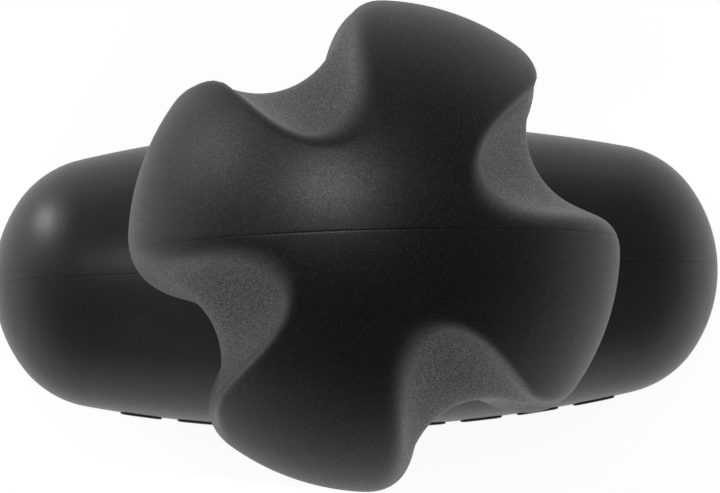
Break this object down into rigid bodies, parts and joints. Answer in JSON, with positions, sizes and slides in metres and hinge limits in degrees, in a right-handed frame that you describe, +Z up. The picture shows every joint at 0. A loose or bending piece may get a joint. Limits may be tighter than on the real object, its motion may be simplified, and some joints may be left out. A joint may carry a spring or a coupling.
{
  "type": "massage ball",
  "caption": "Hand massage ball: a lobed rubber ball with sweeping grooves on a short neck over a crowned barrel base that stands on a flat sole.",
  "frame": {"origin": "centre of the sole's flat underside, below the middle of the ball", "axes": "+Z up through the neck and the ball, +X along the barrel, -Y the front with the raised grip pads"},
  "size_m": [0.1036, 0.065, 0.1173],
  "materials": {
    "ball_rubber": "black, matt, fine spark-eroded grain",
    "base_plastic": "black, satin, moulded",
    "pad_rubber": "black, matt, plain",
    "core_nylon": "dark grey glass-filled nylon, as moulded",
    "zinc_steel": "zinc-plated steel",
    "insert_brass": "turned brass"
  },
  "bodies": {
    "root": {"base_front_shell": "base_plastic", "base_rear_shell": "base_plastic", "base_spine": "core_nylon", "sole_pad": "pad_rubber", "grip_pads": "pad_rubber", "shell_screws": "zinc_steel", "screw_plugs": "base_plastic", "stem_tube": "zinc_steel", "stem_bolt": "zinc_steel", "bolt_washer": "zinc_steel", "neck_collar": "pad_rubber", "head_dowels": "zinc_steel", "core_insert": "insert_brass", "head_core": "core_nylon", "head_cover": "ball_rubber"}
  },
  "joints": []
}
